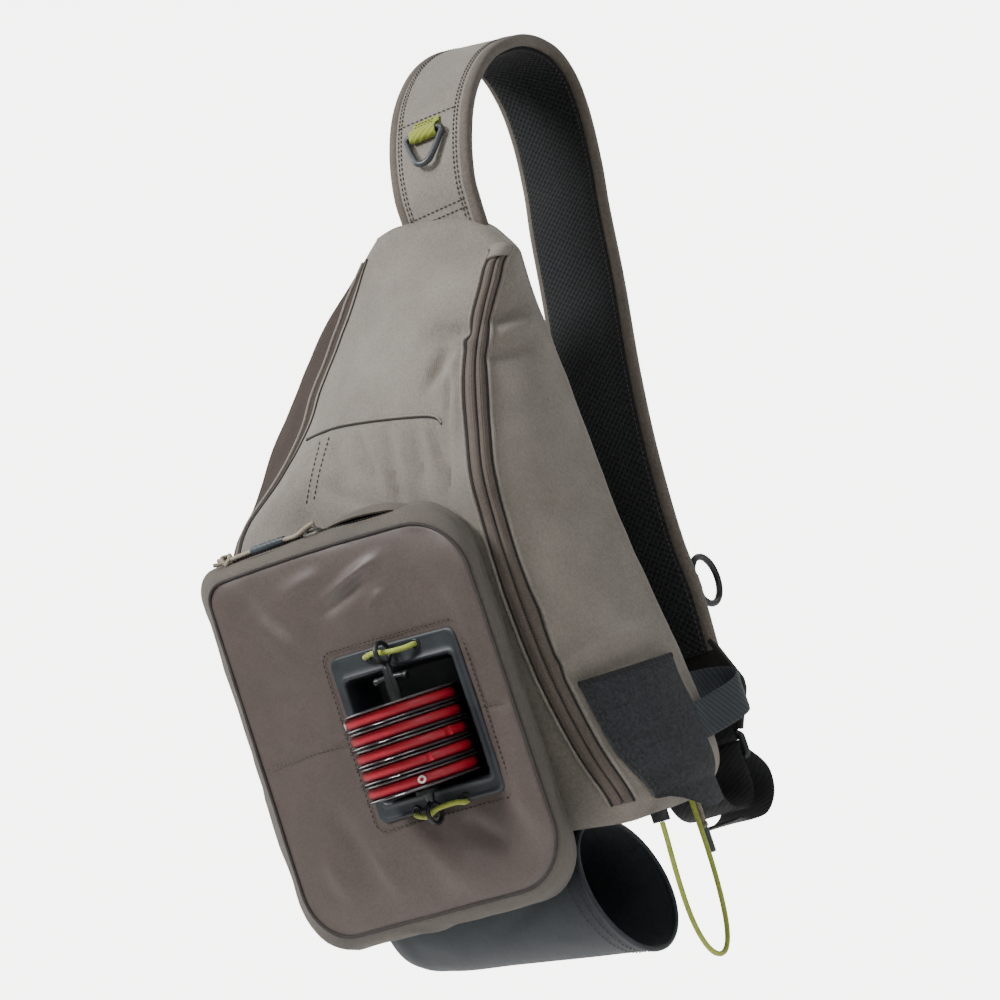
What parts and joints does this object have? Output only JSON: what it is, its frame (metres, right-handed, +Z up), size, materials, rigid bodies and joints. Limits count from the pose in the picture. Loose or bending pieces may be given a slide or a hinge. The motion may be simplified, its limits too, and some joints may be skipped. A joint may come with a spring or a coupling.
{
  "type": "fishing tackle sling bag",
  "caption": "Teardrop sling pack on one padded shoulder strap, with a zipped front pocket, a docked stack of tippet spools and a bottle sleeve below.",
  "frame": {"origin": "Under the arch of the shoulder strap, on its lining, where a shoulder or a peg carries the bag.", "axes": "+Z up the bag as it hangs, +Y towards the wearer's back panel, +X to the right of the front pocket as it is seen from the front."},
  "size_m": [0.3357, 0.3468, 0.6392],
  "materials": {
    "taupe_nylon": "woven",
    "coated_nylon": "coated",
    "slate_nylon": "woven",
    "spacer_mesh": "mesh",
    "slate_webbing": "woven",
    "black_webbing": "woven",
    "wool_felt": "felted",
    "green_cord": "braided",
    "pale_cord": "braided",
    "dock_rubber": "moulded",
    "black_rubber": "moulded",
    "zip_coil": "satin",
    "grey_plastic": "satin",
    "red_plastic": "gloss"
  },
  "bodies": {
    "bag": {"body_shell": "taupe_nylon", "main_zipper": "zip_coil", "zip_garage": "taupe_nylon", "back_pad": "spacer_mesh", "front_pocket": "coated_nylon", "pocket_zipper": "zip_coil", "pocket_zip_slider": "grey_plastic", "pocket_zip_pull": "pale_cord", "main_zip_pull": "pale_cord", "spool_dock": "dock_rubber", "spool_tether": "black_rubber", "toggle_cord_top": "green_cord", "toggle_cord_foot": "green_cord", "fly_patch": "wool_felt", "side_loop": "slate_webbing", "bottle_sleeve": "slate_nylon", "sleeve_cord_tab": "black_webbing", "sleeve_cord": "green_cord", "shoulder_strap": "taupe_nylon", "strap_lining": "spacer_mesh", "d_ring": "grey_plastic", "d_ring_tab": "green_cord", "net_ring": "black_rubber", "net_ring_tab": "black_webbing", "strap_wing": "taupe_nylon", "strap_adjuster": "black_rubber", "lower_webbing": "black_webbing", "webbing_tail": "black_webbing", "webbing_anchor": "taupe_nylon"},
    "spool_body_1": {"spool_1": "red_plastic"},
    "spool_body_2": {"spool_2": "red_plastic"},
    "spool_body_3": {"spool_3": "red_plastic"},
    "spool_body_4": {"spool_4": "red_plastic"},
    "spool_body_5": {"spool_5": "red_plastic"}
  },
  "joints": [
    {"name": "spool_1_spin", "type": "hinge", "parent": "bag", "child": "spool_body_1", "pos_m": [-0.05862, -0.26748, -0.45905], "axis": [0, 0, 1], "continuous": true},
    {"name": "spool_2_spin", "type": "hinge", "parent": "bag", "child": "spool_body_2", "pos_m": [-0.05862, -0.26748, -0.44815], "axis": [0, 0, 1], "continuous": true},
    {"name": "spool_3_spin", "type": "hinge", "parent": "bag", "child": "spool_body_3", "pos_m": [-0.05862, -0.26748, -0.43725], "axis": [0, 0, 1], "continuous": true},
    {"name": "spool_4_spin", "type": "hinge", "parent": "bag", "child": "spool_body_4", "pos_m": [-0.05862, -0.26748, -0.42635], "axis": [0, 0, 1], "continuous": true},
    {"name": "spool_5_spin", "type": "hinge", "parent": "bag", "child": "spool_body_5", "pos_m": [-0.05862, -0.26748, -0.41545], "axis": [0, 0, 1], "continuous": true}
  ]
}
